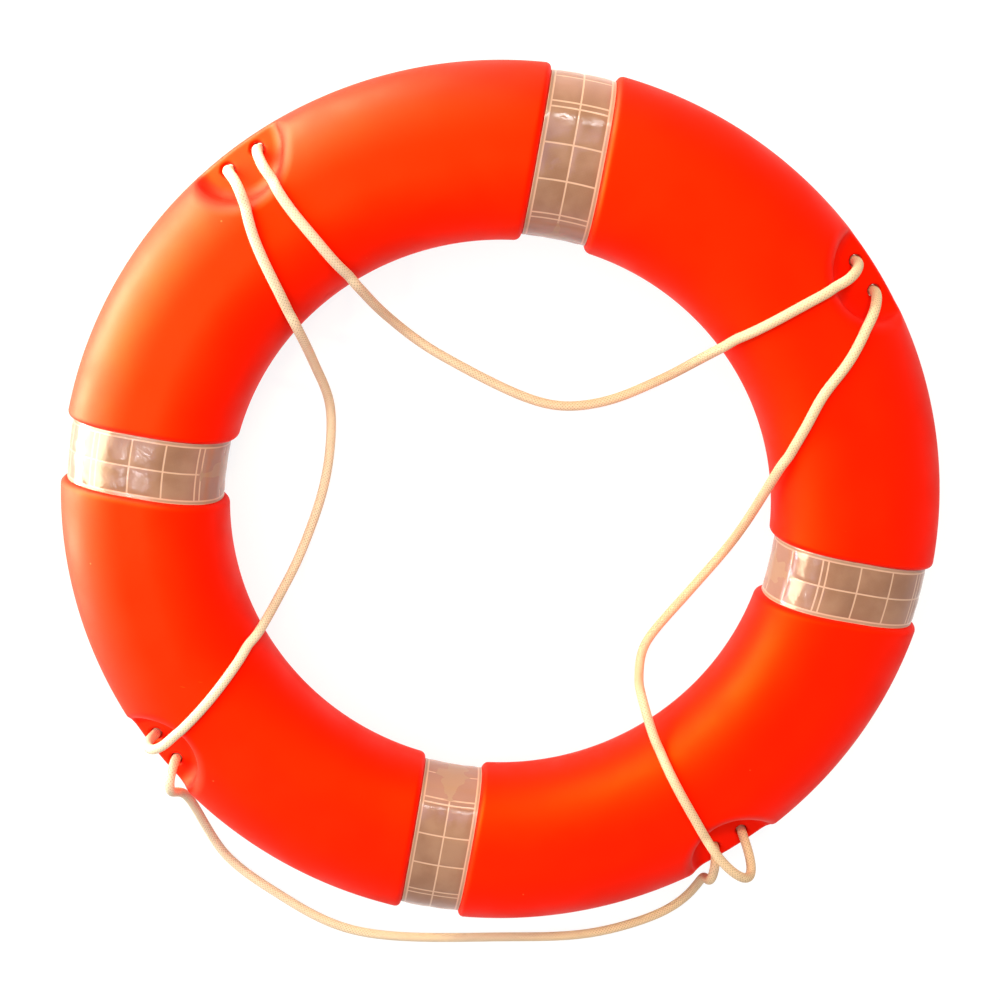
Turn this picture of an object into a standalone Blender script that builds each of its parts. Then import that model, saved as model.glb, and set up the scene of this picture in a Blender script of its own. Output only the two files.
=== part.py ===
"""A life ring that lies on its back on z = 0, in metres, +Z up.

A one-piece moulded shell holds a foam core. Four bands of reflective tape sit in grooves round the
shell, and one grab line is laced through four rope eyes, whose pockets are moulded into the front and
the back. Directions round the ring are degrees clockwise from +Y, as seen from above.
"""

import math

import bmesh
import bpy
from mathutils import Vector

# The ring's section is a superellipse with a flat land along the middle of each face
OUTER_DIAMETER = 0.720
INNER_DIAMETER = 0.451
THICKNESS = 0.105
LAND_WIDTH = 0.016
SECTION_POWER = 2.3
SHELL_WALL = 0.0025

# Grooves for the tape
BAND_DIRECTIONS = (0, 90, 180, 270)
TAPE_WIDTH = 0.050
TAPE_THICKNESS = 0.0008
TAPE_SIDE_GAP = 0.0005
GROOVE_DEPTH = 0.006
SHOULDER_RADIUS = 0.005

# Rope eyes: two holes in a web, at the bottom of a half-round pocket on each side of it
EYE_DIRECTIONS = (45, 135, 225, 315)
EYE_INSET = 0.012
HOLE_PITCH = 0.028
HOLE_DIAMETER = 0.010
BELL_RADIUS = 0.0025
WEB_THICKNESS = 0.010
POCKET_RADIUS = 0.037
POCKET_INSET = 0.002
POCKET_DRAFT = math.radians(6)

# Plugs welded into the openings that the foam was poured and vented through
PLUG_DIRECTIONS = {"filler_plug": 22.5, "vent_plug": 202.5}
PLUG_HEAD_DIAMETER = 0.024
PLUG_HEAD_THICKNESS = 0.0012
PLUG_STEM_DIAMETER = 0.018
PLUG_REACH = 0.0015
PLUG_RECESS = 0.0003
PLUG_CHAMFER = 0.0004

# Grab line
ROPE_DIAMETER = 0.008
KNOT_DIAMETER = 0.020
KNOT_HEIGHT = 0.016
KNOT_WAIST = 0.0175
ROPE_TAIL = 0.012

# Space between pieces that touch, and how far a cutter passes the face that it opens
GAP = 0.0003
CUT_MARGIN = 0.010

# Facets
OUTLINE_STEPS = 6
HOLLOW_STEPS = 4
BODY_STEPS = 9
HOLLOW_BODY_STEPS = 6
SHOULDER_STEPS = 2
POCKET_STEPS = 12
BELL_STEPS = 2
HOLE_SIDES = 12
PLUG_SIDES = 18
KNOT_SIDES = 14
ROPE_SAG = 0.0014
CURVE_STEPS = 12

OUTER_RADIUS = OUTER_DIAMETER / 2
INNER_RADIUS = INNER_DIAMETER / 2
MIDDLE_RADIUS = (OUTER_RADIUS + INNER_RADIUS) / 2
MIDDLE_HEIGHT = THICKNESS / 2
EYE_RADIUS = OUTER_RADIUS - EYE_INSET
POCKET_CENTRE = OUTER_RADIUS - POCKET_INSET
WEB_TOP = MIDDLE_HEIGHT + WEB_THICKNESS / 2
WEB_BOTTOM = MIDDLE_HEIGHT - WEB_THICKNESS / 2
ROPE_RADIUS = ROPE_DIAMETER / 2

# The grab line's route over the ring and the floor, loop by loop, from one eye to the next
LEFT_LOOP = (
    (-0.2615, -0.234, 0.071), (-0.260, -0.2335, 0.083), (-0.256, -0.2365, 0.0945),
    (-0.253, -0.2375, 0.1015), (-0.244, -0.230, 0.1055), (-0.2215, -0.2005, 0.111),
    (-0.2005, -0.1655, 0.109), (-0.182, -0.1285, 0.084), (-0.1715, -0.101, 0.033),
    (-0.1635, -0.0745, 0.009), (-0.152, -0.0055, 0.0045), (-0.156, 0.054, 0.0045),
    (-0.1725, 0.0995, 0.047), (-0.1835, 0.128, 0.087), (-0.197, 0.152, 0.105), (-0.224, 0.194, 0.1115),
    (-0.2395, 0.230, 0.1085), (-0.2425, 0.238, 0.096), (-0.256, 0.2355, 0.076),
)
TOP_LOOP = (
    (-0.236, 0.2555, 0.076), (-0.226, 0.2545, 0.095), (-0.224, 0.244, 0.106), (-0.197, 0.2155, 0.1105),
    (-0.1835, 0.2045, 0.1105), (-0.173, 0.195, 0.1085), (-0.1585, 0.1815, 0.1005),
    (-0.146, 0.171, 0.086), (-0.1295, 0.1535, 0.053), (-0.116, 0.141, 0.024), (-0.097, 0.128, 0.0045),
    (-0.072, 0.1175, 0.0045), (0.025, 0.0925, 0.0045), (0.070, 0.103, 0.0045), (0.1085, 0.128, 0.011),
    (0.1325, 0.1605, 0.072), (0.1435, 0.1735, 0.090), (0.1495, 0.179, 0.0965), (0.176, 0.202, 0.1105),
    (0.195, 0.218, 0.1105), (0.215, 0.234, 0.110), (0.228, 0.244, 0.1065), (0.231, 0.2535, 0.097),
    (0.236, 0.2555, 0.079),
)
RIGHT_LOOP = (
    (0.254, 0.2305, 0.074), (0.254, 0.233, 0.090), (0.2485, 0.225, 0.1035), (0.2485, 0.222, 0.108),
    (0.237, 0.179, 0.110), (0.2235, 0.152, 0.1105), (0.2185, 0.1275, 0.1055), (0.2095, 0.090, 0.091),
    (0.204, 0.028, 0.039), (0.198, -0.008, 0.008), (0.1755, -0.051, 0.005), (0.148, -0.1045, 0.0045),
    (0.1465, -0.125, 0.021), (0.145, -0.130, 0.072), (0.160, -0.1585, 0.088), (0.172, -0.175, 0.1035),
    (0.193, -0.201, 0.1115), (0.232, -0.2455, 0.110), (0.253, -0.258, 0.109), (0.2645, -0.2585, 0.082),
    (0.254, -0.2405, 0.070),
)
BOTTOM_LOOP = (
    (0.2365, -0.2555, 0.067), (0.234, -0.263, 0.0705), (0.2345, -0.2815, 0.060), (0.235, -0.336, 0.018),
    (0.2255, -0.354, 0.0045), (0.1605, -0.391, 0.005), (0.0815, -0.410, 0.0045),
    (-0.0645, -0.4285, 0.0045), (-0.145, -0.400, 0.004), (-0.1925, -0.371, 0.0045),
    (-0.2195, -0.3275, 0.025), (-0.2335, -0.286, 0.055), (-0.236, -0.2675, 0.0695),
    (-0.2405, -0.254, 0.067),
)


def clear_scene():
    for item in list(bpy.data.objects):
        bpy.data.objects.remove(item, do_unlink=True)


def make_collection(name):
    collection = bpy.data.collections.new(name)
    bpy.context.scene.collection.children.link(collection)
    return collection


def material(name, color, roughness, metallic=0.0):
    made = bpy.data.materials.new(name)
    made.use_nodes = True
    shader = made.node_tree.nodes["Principled BSDF"]
    shader.inputs["Base Color"].default_value = (*color, 1.0)
    shader.inputs["Roughness"].default_value = roughness
    shader.inputs["Metallic"].default_value = metallic
    return made


def add_object(name, data, collection, finish=None):
    made = bpy.data.objects.new(name, data)
    collection.objects.link(made)
    if finish:
        data.materials.append(finish)
    if collection is cutters:
        made.hide_render = True
        made.display_type = "WIRE"
    return made


def around(direction, sideways, radius):
    """A point at a radius from the ring's axis, moved sideways (clockwise) from a direction."""
    angle = math.radians(direction)
    x = radius * math.sin(angle) + sideways * math.cos(angle)
    y = radius * math.cos(angle) - sideways * math.sin(angle)
    return x, y


def turn_to(item, direction):
    item.rotation_euler = (0, 0, -math.radians(direction))


def section(inset, steps):
    """The ring's section, drawn in by inset, as a closed row of (radius, height) points."""
    half_width = OUTER_RADIUS - MIDDLE_RADIUS - LAND_WIDTH / 2 - inset
    half_height = MIDDLE_HEIGHT - inset
    quarter = []
    for step in range(steps + 1):
        angle = math.pi / 2 * step / steps
        out = LAND_WIDTH / 2 + half_width * abs(math.cos(angle)) ** (2 / SECTION_POWER)
        up = half_height * math.sin(angle) ** (2 / SECTION_POWER)
        quarter.append((out, up))
    row = [(out, up) for out, up in quarter]
    row += [(-out, up) for out, up in reversed(quarter)]
    row += [(-out, -up) for out, up in quarter[1:]]
    row += [(out, -up) for out, up in reversed(quarter[1:])]
    return [(MIDDLE_RADIUS + out, MIDDLE_HEIGHT + up) for out, up in row]


def station(direction, sideways, inset, steps):
    """The section placed across the ring, with every point the same distance sideways."""
    row = []
    for radius, height in section(inset, steps):
        along = math.sqrt(radius ** 2 - sideways ** 2)
        x, y = around(direction, sideways, along)
        row.append(Vector((x, y, height)))
    return row


def skin(name, rows, closed):
    """A mesh over rows of points, each a closed loop; an open stack of rows gets two end caps."""
    shape = bmesh.new()
    loops = [[shape.verts.new(point) for point in row] for row in rows]
    following = loops[1:] + loops[:1] if closed else loops[1:]
    for first, second in zip(loops, following):
        for k in range(len(first)):
            after = (k + 1) % len(first)
            shape.faces.new((first[k], first[after], second[after], second[k]))
    if not closed:
        shape.faces.new(loops[0])
        shape.faces.new(loops[-1])
    bmesh.ops.recalc_face_normals(shape, faces=shape.faces)
    bmesh.ops.triangulate(shape, faces=shape.faces, quad_method="FIXED")
    data = bpy.data.meshes.new(name)
    shape.to_mesh(data)
    shape.free()
    return data


def groove_stations(inset, shoulder_steps):
    """Half of a groove as (sideways, depth) pairs, from its middle to where the plain section starts."""
    edge = TAPE_WIDTH / 2 + TAPE_SIDE_GAP + inset
    radius = max(min(SHOULDER_RADIUS, GROOVE_DEPTH - GAP) - inset, GAP)
    pairs = [(0.0, GROOVE_DEPTH + inset), (edge, GROOVE_DEPTH + inset)]
    for step in range(shoulder_steps + 1):
        angle = math.pi / 2 * step / shoulder_steps
        sideways = edge + radius * (1 - math.cos(angle))
        depth = inset + radius * (1 - math.sin(angle))
        pairs.append((sideways, depth))
    return pairs


def ring_skin(name, inset, steps, body_steps, shoulder_steps):
    """The whole ring with its grooves, drawn in by inset."""
    half = groove_stations(inset, shoulder_steps)
    mirrored = [(-sideways, depth) for sideways, depth in reversed(half[1:])]
    shoulder_end = TAPE_WIDTH / 2 + TAPE_SIDE_GAP + SHOULDER_RADIUS
    plain_start = math.degrees(math.asin(shoulder_end / INNER_RADIUS)) + 2.5
    rows = []
    for number, direction in enumerate(BAND_DIRECTIONS):
        for sideways, depth in mirrored + half:
            rows.append(station(direction, sideways, depth, steps))
        following = BAND_DIRECTIONS[(number + 1) % len(BAND_DIRECTIONS)]
        span = (following - direction) % 360 - 2 * plain_start
        for step in range(body_steps + 1):
            at = direction + plain_start + span * step / body_steps
            rows.append(station(at, 0.0, inset, steps))
    return skin(name, rows, closed=True)


def turned(name, profile, sides, collection, finish=None):
    """A turned solid: its profile as (radius, height) points, from the top down its outer side."""
    data = bpy.data.meshes.new(name)
    points = [(radius, 0.0, height) for radius, height in profile]
    data.from_pydata(points, [(k, k + 1) for k in range(len(points) - 1)], [])
    made = add_object(name, data, collection, finish)
    screw = made.modifiers.new("turn", "SCREW")
    screw.steps = sides
    screw.render_steps = sides
    screw.use_merge_vertices = True
    screw.merge_threshold = 0.00001
    return made


def cut(target, cutter):
    boolean = target.modifiers.new(cutter.name, "BOOLEAN")
    boolean.operation = "DIFFERENCE"
    boolean.solver = "EXACT"
    boolean.object = cutter


def pocket_outline(grown):
    """A rope eye's half-round outline, past the ring's edge, as (sideways, radius) points."""
    reach = POCKET_RADIUS + grown
    outline = [(-reach, OUTER_RADIUS + CUT_MARGIN)]
    for step in range(POCKET_STEPS + 1):
        angle = math.pi * step / POCKET_STEPS
        outline.append((-reach * math.cos(angle), POCKET_CENTRE - reach * math.sin(angle)))
    outline.append((reach, OUTER_RADIUS + CUT_MARGIN))
    return outline


def pocket_rows(levels):
    """Outlines stacked at (height, grown) levels."""
    rows = []
    for height, grown in levels:
        rows.append([Vector((x, y, height)) for x, y in pocket_outline(grown)])
    return rows


def pocket_cutter(direction, side):
    """The pocket on the front (side 1) or the back (side -1), opening with its draft."""
    start = MIDDLE_HEIGHT + side * WEB_THICKNESS / 2
    depth = MIDDLE_HEIGHT - WEB_THICKNESS / 2 + CUT_MARGIN
    opening = depth * math.tan(POCKET_DRAFT)
    name = f"pocket_{direction}_{'front' if side > 0 else 'back'}"
    data = skin(name, pocket_rows([(start, 0.0), (start + side * depth, opening)]), closed=False)
    cutter = add_object(name, data, cutters)
    turn_to(cutter, direction)
    return cutter


def pocket_core_cutter(name, direction, wall):
    """Front and back pocket and the web between them as one block, grown by a wall all round."""
    depth = MIDDLE_HEIGHT - WEB_THICKNESS / 2 + CUT_MARGIN
    opening = depth * math.tan(POCKET_DRAFT)
    levels = [
        (MIDDLE_HEIGHT - WEB_THICKNESS / 2 - depth, wall + opening),
        (WEB_BOTTOM, wall),
        (WEB_TOP, wall),
        (MIDDLE_HEIGHT + WEB_THICKNESS / 2 + depth, wall + opening),
    ]
    cutter = add_object(name, skin(name, pocket_rows(levels), closed=False), cutters)
    turn_to(cutter, direction)
    return cutter


def bell_profile():
    """A rope hole with a rounded mouth on each side of the web."""
    hole = HOLE_DIAMETER / 2
    mouth = []
    for step in range(BELL_STEPS + 1):
        angle = math.pi / 2 * step / BELL_STEPS
        radius = hole + BELL_RADIUS * (1 - math.sin(angle))
        height = WEB_THICKNESS / 2 + GAP - BELL_RADIUS * (1 - math.cos(angle))
        mouth.append((radius, height))
    top = WEB_THICKNESS / 2 + BELL_RADIUS
    upper = [(0.0, top), (hole + BELL_RADIUS, top)] + mouth
    return upper + [(radius, -height) for radius, height in reversed(upper)]


def hole_cutters():
    made = []
    for direction in EYE_DIRECTIONS:
        for side in (-1, 1):
            name = f"hole_{direction}_{'left' if side < 0 else 'right'}"
            cutter = turned(name, bell_profile(), HOLE_SIDES, cutters)
            x, y = around(direction, side * HOLE_PITCH / 2, EYE_RADIUS)
            cutter.location = (x, y, MIDDLE_HEIGHT)
            made.append(cutter)
    return made


def plug_profile(grown):
    """A stepped disc with its head on the ring's back face, grown to make its seat."""
    head = PLUG_HEAD_DIAMETER / 2 + grown
    stem = PLUG_STEM_DIAMETER / 2 + grown
    seat = PLUG_RECESS + PLUG_HEAD_THICKNESS + grown
    inner_end = SHELL_WALL + PLUG_REACH + grown
    return head, stem, seat, inner_end


def make_plug(name, direction):
    head, stem, seat, inner_end = plug_profile(0.0)
    profile = [
        (0.0, inner_end),
        (stem - PLUG_CHAMFER, inner_end),
        (stem, inner_end - PLUG_CHAMFER),
        (stem, seat),
        (head, seat),
        (head, PLUG_RECESS + PLUG_CHAMFER),
        (head - PLUG_CHAMFER, PLUG_RECESS),
        (0.0, PLUG_RECESS),
    ]
    plug = turned(name, profile, PLUG_SIDES, ring_parts, plug_plastic)
    plug.location = (*around(direction, 0.0, MIDDLE_RADIUS), 0.0)
    return plug


def plug_cutter(name, direction):
    head, stem, seat, inner_end = plug_profile(GAP)
    profile = [
        (0.0, inner_end),
        (stem, inner_end),
        (stem, seat),
        (head, seat),
        (head, -CUT_MARGIN),
        (0.0, -CUT_MARGIN),
    ]
    cutter = turned(name, profile, PLUG_SIDES, cutters)
    cutter.location = (*around(direction, 0.0, MIDDLE_RADIUS), 0.0)
    return cutter


def make_shell():
    outside = ring_skin("ring_shell", 0.0, OUTLINE_STEPS, BODY_STEPS, SHOULDER_STEPS)
    shell = add_object("ring_shell", outside, ring_parts, shell_plastic)
    hollow_skin = ring_skin("hollow", SHELL_WALL, HOLLOW_STEPS, HOLLOW_BODY_STEPS, 1)
    hollow = add_object("hollow", hollow_skin, cutters)
    for direction in EYE_DIRECTIONS:
        cut(hollow, pocket_core_cutter(f"pocket_wall_{direction}", direction, SHELL_WALL))
    for direction in EYE_DIRECTIONS:
        cut(shell, pocket_cutter(direction, 1))
        cut(shell, pocket_cutter(direction, -1))
    for cutter in hole_cutters():
        cut(shell, cutter)
    cut(shell, hollow)
    for name, direction in PLUG_DIRECTIONS.items():
        cut(shell, plug_cutter(f"{name}_seat", direction))
    return shell


def make_core():
    """The foam that fills the shell, clear of the walls of the grooves, the pockets and the plugs."""
    inset = SHELL_WALL + GAP
    filling = ring_skin("foam_core", inset, HOLLOW_STEPS, HOLLOW_BODY_STEPS, 1)
    core = add_object("foam_core", filling, ring_parts, foam)
    for direction in EYE_DIRECTIONS:
        cut(core, pocket_core_cutter(f"pocket_core_{direction}", direction, inset))
    for name, direction in PLUG_DIRECTIONS.items():
        cut(core, plug_cutter(f"{name}_core", direction))
    return core


def make_tape(number, direction):
    """A closed band in its groove, as wide as the tape and one tape thick."""
    inner = GROOVE_DEPTH - GAP
    outer = inner - TAPE_THICKNESS
    edge = TAPE_WIDTH / 2
    rows = [station(0.0, sideways, inner, OUTLINE_STEPS) for sideways in (-edge, 0.0, edge)]
    rows += [station(0.0, sideways, outer, OUTLINE_STEPS) for sideways in (edge, 0.0, -edge)]
    name = f"reflective_tape_{number}"
    tape = add_object(name, skin(name, rows, closed=True), ring_parts, tape_film)
    turn_to(tape, direction)
    return tape


def eye_pass(direction):
    """The line's way through one eye: down a hole, round behind the web and up the other hole."""
    half = HOLE_PITCH / 2
    profile = [(-half, WEB_TOP)]
    for step in range(5):
        angle = math.pi * step / 4
        profile.append((-half * math.cos(angle), WEB_BOTTOM - GAP - half * math.sin(angle)))
    profile.append((half, WEB_TOP))
    return [(*around(direction, sideways, EYE_RADIUS), height) for sideways, height in profile]


def route_points():
    """The grab line's own points, from its end under one hole of the first eye to the other."""
    start = around(EYE_DIRECTIONS[2], HOLE_PITCH / 2, EYE_RADIUS)
    end = around(EYE_DIRECTIONS[2], -HOLE_PITCH / 2, EYE_RADIUS)
    points = [(*start, WEB_BOTTOM), (*start, WEB_TOP)]
    points += list(LEFT_LOOP) + eye_pass(EYE_DIRECTIONS[3])
    points += list(TOP_LOOP) + eye_pass(EYE_DIRECTIONS[0])
    points += list(RIGHT_LOOP) + eye_pass(EYE_DIRECTIONS[1])
    points += list(BOTTOM_LOOP) + [(*end, WEB_TOP), (*end, WEB_BOTTOM)]
    return [Vector(point) for point in points]


def smooth_through(points, steps):
    """A centripetal Catmull-Rom curve through the points, kept above the floor that it lies on."""
    before = points[0] * 2 - points[1]
    after = points[-1] * 2 - points[-2]
    line = [before] + points + [after]
    curve = []
    for a, b, c, d in zip(line, line[1:], line[2:], line[3:]):
        t1 = math.sqrt((b - a).length)
        t2 = t1 + math.sqrt((c - b).length)
        t3 = t2 + math.sqrt((d - c).length)
        for step in range(steps):
            t = t1 + (t2 - t1) * step / steps
            ab = a.lerp(b, t / t1)
            bc = b.lerp(c, (t - t1) / (t2 - t1))
            cd = c.lerp(d, (t - t2) / (t3 - t2))
            abc = ab.lerp(bc, t / t2)
            bcd = bc.lerp(cd, (t - t1) / (t3 - t1))
            curve.append(abc.lerp(bcd, (t - t1) / (t2 - t1)))
    curve.append(points[-1])
    for point in curve:
        point.z = max(point.z, ROPE_RADIUS + GAP)
    return curve


def thin_out(curve, sag):
    """Fewer points of a curve: straight runs leave it by no more than sag, and pass a web's holes exactly."""
    kept = [0]
    while kept[-1] < len(curve) - 1:
        start = kept[-1]
        end = start + 1
        while end + 1 < len(curve) and not at_web(curve[end]) and largest_sag(curve, start, end + 1) <= sag:
            end += 1
        kept.append(end)
    return [curve[index] for index in kept]


def at_web(point):
    return min(abs(point.z - WEB_TOP), abs(point.z - WEB_BOTTOM + GAP)) < 1e-6


def largest_sag(curve, start, end):
    run = curve[end] - curve[start]
    furthest = 0.0
    for point in curve[start + 1:end]:
        share = max(0.0, min(1.0, (point - curve[start]).dot(run) / run.length_squared))
        furthest = max(furthest, (point - curve[start] - run * share).length)
    return furthest


def make_rope():
    curve = smooth_through(route_points(), CURVE_STEPS)
    points = curve[:1] + thin_out(curve[CURVE_STEPS:-CURVE_STEPS], ROPE_SAG) + curve[-1:]
    data = bpy.data.curves.new("grab_line", "CURVE")
    data.dimensions = "3D"
    data.bevel_depth = ROPE_RADIUS
    data.bevel_resolution = 2
    data.use_fill_caps = True
    spline = data.splines.new("POLY")
    spline.points.add(len(points) - 1)
    for item, point in zip(spline.points, points):
        item.co = (*point, 1.0)
    return add_object("grab_line", data, ring_parts, rope_fibre)


def make_knot(name, side):
    """A stopper knot under a hole, drawn as the bulge of its two turns with the line's end below."""
    bulge = KNOT_DIAMETER / 2
    waist = KNOT_WAIST / 2
    turn = KNOT_HEIGHT / 4
    profile = [(0.0, 0.0), (HOLE_DIAMETER / 2 + BELL_RADIUS, 0.0)]
    for middle in (-turn, -3 * turn):
        for angle in (60, 20, -20, -60):
            reach = bulge - turn + turn * math.cos(math.radians(angle))
            profile.append((reach, middle + turn * math.sin(math.radians(angle))))
        profile.append((waist - turn / 2, middle - turn))
    profile.append((ROPE_RADIUS, -KNOT_HEIGHT))
    profile.append((ROPE_RADIUS, -KNOT_HEIGHT - ROPE_TAIL))
    profile.append((0.0, -KNOT_HEIGHT - ROPE_TAIL))
    knot = turned(name, profile, KNOT_SIDES, ring_parts, rope_fibre)
    knot.location = (*around(EYE_DIRECTIONS[2], side * HOLE_PITCH / 2, EYE_RADIUS), WEB_BOTTOM - GAP)
    return knot


clear_scene()
ring_parts = make_collection("life_ring")
cutters = make_collection("life_ring_cutters")

shell_plastic = material("shell_plastic", (0.90, 0.075, 0.010), 0.38)
foam = material("foam", (0.85, 0.78, 0.58), 0.90)
tape_film = material("tape_film", (0.70, 0.68, 0.66), 0.35)
plug_plastic = material("plug_plastic", (0.78, 0.060, 0.010), 0.42)
rope_fibre = material("rope_fibre", (0.86, 0.86, 0.84), 0.75)

make_shell()
make_core()
for plug_name, plug_direction in PLUG_DIRECTIONS.items():
    make_plug(plug_name, plug_direction)
for band_number, band_direction in enumerate(BAND_DIRECTIONS, start=1):
    make_tape(band_number, band_direction)
make_rope()
make_knot("grab_line_knot_1", 1)
make_knot("grab_line_knot_2", -1)
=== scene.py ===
"""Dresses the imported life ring: shell, reflective bands, plugs and grab line, with studio and camera.

Lengths are metres in the ring's own frame. Directions are degrees clockwise from +Y, seen from above.
"""

import math

import bpy
import numpy as np
from mathutils import Matrix, Vector, noise


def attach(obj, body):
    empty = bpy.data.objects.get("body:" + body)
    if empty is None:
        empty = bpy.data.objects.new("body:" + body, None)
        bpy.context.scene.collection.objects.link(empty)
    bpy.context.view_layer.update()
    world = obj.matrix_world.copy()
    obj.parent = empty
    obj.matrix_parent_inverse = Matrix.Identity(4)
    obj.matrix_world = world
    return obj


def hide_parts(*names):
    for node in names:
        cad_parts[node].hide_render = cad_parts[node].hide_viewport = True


# The ring as part.py has it
MIDDLE_RADIUS = 0.29275
MIDDLE_HEIGHT = 0.0525
HALF_WIDTH = 0.05925
HALF_LAND = 0.008
SECTION_POWER = 2.3
GROOVE_DEPTH = 0.006
TAPE_WIDTH = 0.050
TAPE_SIDE_GAP = 0.0005
TAPE_OUTSIDE = 0.0049
TAPE_INSIDE = 0.0057
SHOULDER_RADIUS = 0.005
EYE_RADIUS = 0.348
HOLE_PITCH = 0.028
HOLE_RADIUS = 0.005
BELL_RADIUS = 0.0025
WEB_THICKNESS = 0.010
POCKET_RADIUS = 0.037
POCKET_CENTRE = 0.358
POCKET_SLOPE = math.tan(math.radians(6))
EYE_DIRECTIONS = (45, 135, 225, 315)
BAND_DIRECTIONS = (0, 90, 180, 270)
PLUG_DIRECTIONS = {"filler_plug": 22.5, "vent_plug": 202.5}
ROPE_DIAMETER = 0.008
FIT_GAP = 0.0003

ROPE_RADIUS = ROPE_DIAMETER / 2
WEB_TOP = MIDDLE_HEIGHT + WEB_THICKNESS / 2
WEB_BOTTOM = MIDDLE_HEIGHT - WEB_THICKNESS / 2

# Rounded edges that the CAD leaves sharp, and the front pockets' shallow floor
LIP_RADIUS = 0.0090
WEB_EDGE_RADIUS = 0.0030
LIP_START = 0.012
LIP_GROWTH = 0.020
FLOOR_FILLET = 0.0095
GROOVE_FILLET = 0.0008
POCKET_FLOOR = 0.0655
FLOOR_FALL = math.tan(math.radians(11))

# The grid that the shell is made on, and the limits of one step towards its surface
SHELL_CELL = 0.0020
GRID_REACH = 0.3625
GRID_HALF_HEIGHT = 0.0555
SLOPE_STEP = 0.00005
LEAST_SLOPE = 0.05
LONGEST_STEP = 0.0015

# The grab line's route, loop by loop: part.py's, with wider bends at the eyes
LEFT_LOOP = (
    (-0.2570, -0.2358, 0.0740), (-0.2590, -0.2350, 0.0850), (-0.2570, -0.2360, 0.0950),
    (-0.2520, -0.2360, 0.1020), (-0.2435, -0.2295, 0.1070), (-0.2215, -0.2005, 0.1110),
    (-0.2005, -0.1655, 0.109), (-0.182, -0.1285, 0.084), (-0.1715, -0.101, 0.033),
    (-0.1635, -0.0745, 0.009), (-0.152, -0.0055, 0.0045), (-0.156, 0.054, 0.0045),
    (-0.1725, 0.0995, 0.047), (-0.1835, 0.128, 0.087), (-0.197, 0.152, 0.105), (-0.224, 0.194, 0.1115),
    (-0.2375, 0.2250, 0.1090), (-0.2450, 0.2325, 0.1015), (-0.2530, 0.2358, 0.0850),
)
TOP_LOOP = (
    (-0.2345, 0.2545, 0.078), (-0.2290, 0.2495, 0.095), (-0.2215, 0.2415, 0.106), (-0.197, 0.2155, 0.1105),
    (-0.1835, 0.2045, 0.1105), (-0.173, 0.195, 0.1085), (-0.1585, 0.1815, 0.1005),
    (-0.146, 0.171, 0.086), (-0.1295, 0.1535, 0.053), (-0.116, 0.141, 0.024), (-0.097, 0.128, 0.0045),
    (-0.072, 0.1175, 0.0045), (0.025, 0.0925, 0.0045), (0.070, 0.103, 0.0045), (0.1085, 0.128, 0.011),
    (0.1325, 0.1605, 0.072), (0.1435, 0.1735, 0.090), (0.1495, 0.179, 0.0965), (0.176, 0.202, 0.1105),
    (0.195, 0.218, 0.1105), (0.215, 0.234, 0.110), (0.2255, 0.2435, 0.1055), (0.2310, 0.2495, 0.094),
    (0.2355, 0.2545, 0.079),
)
RIGHT_LOOP = (
    (0.2555, 0.2345, 0.076), (0.2525, 0.2295, 0.090), (0.2495, 0.2230, 0.1025), (0.2465, 0.2130, 0.1085),
    (0.237, 0.179, 0.110), (0.2235, 0.152, 0.1105), (0.2185, 0.1275, 0.1055), (0.2095, 0.090, 0.091),
    (0.204, 0.028, 0.039), (0.198, -0.008, 0.008), (0.1755, -0.051, 0.005), (0.148, -0.1045, 0.0045),
    (0.1465, -0.125, 0.021), (0.145, -0.130, 0.072), (0.160, -0.1585, 0.088), (0.172, -0.175, 0.1035),
    (0.193, -0.201, 0.1115), (0.232, -0.2455, 0.110), (0.2525, -0.2590, 0.1085), (0.2655, -0.2630, 0.0965),
    (0.2645, -0.2528, 0.0840), (0.2575, -0.2395, 0.0770),
)
BOTTOM_LOOP = (
    (0.2360, -0.2583, 0.0795), (0.2356, -0.2697, 0.0860), (0.2362, -0.2825, 0.0775),
    (0.2372, -0.2900, 0.0580), (0.2395, -0.2990, 0.0390), (0.2400, -0.3170, 0.0220),
    (0.2350, -0.3390, 0.0090), (0.2180, -0.3600, 0.0045), (0.1605, -0.391, 0.005),
    (0.0815, -0.410, 0.0045), (-0.0645, -0.4285, 0.0045), (-0.145, -0.400, 0.004),
    (-0.1900, -0.3730, 0.0045), (-0.2085, -0.3480, 0.0090), (-0.2200, -0.3230, 0.0210),
    (-0.2275, -0.3015, 0.0390), (-0.2320, -0.2895, 0.0580), (-0.2350, -0.2820, 0.0775),
    (-0.2360, -0.2697, 0.0865), (-0.2362, -0.2583, 0.0795),
)


def around(direction, sideways, radius):
    """A point at a radius from the ring's axis, moved sideways (clockwise) from a direction."""
    angle = math.radians(direction)
    x = radius * math.sin(angle) + sideways * math.cos(angle)
    y = radius * math.cos(angle) - sideways * math.sin(angle)
    return x, y


# Distance to the shell's surface, with every edge rounded

def round_and(a, b, radius):
    """What two solids share, with the edge between them rounded."""
    outer = np.hypot(np.maximum(radius + a, 0), np.maximum(radius + b, 0))
    return np.minimum(-radius, np.maximum(a, b)) + outer


def round_or(a, b, radius):
    """Two solids joined, with the corner between them filled to a radius."""
    inner = np.hypot(np.maximum(radius - a, 0), np.maximum(radius - b, 0))
    return np.maximum(radius, np.minimum(a, b)) - inner


def section_distance(out, up, inset):
    """Distance to the ring's section, drawn in by inset, from its middle's offsets."""
    wide = HALF_WIDTH - inset
    high = MIDDLE_HEIGHT - inset
    along = np.maximum(np.abs(out) - HALF_LAND, 0) / wide
    across = np.abs(up) / high
    size = np.maximum((along ** SECTION_POWER + across ** SECTION_POWER) ** (1 / SECTION_POWER), 1e-3)
    power = SECTION_POWER - 1
    steep = np.hypot((along / size) ** power / wide, (across / size) ** power / high)
    return (size - 1) / steep


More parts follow.
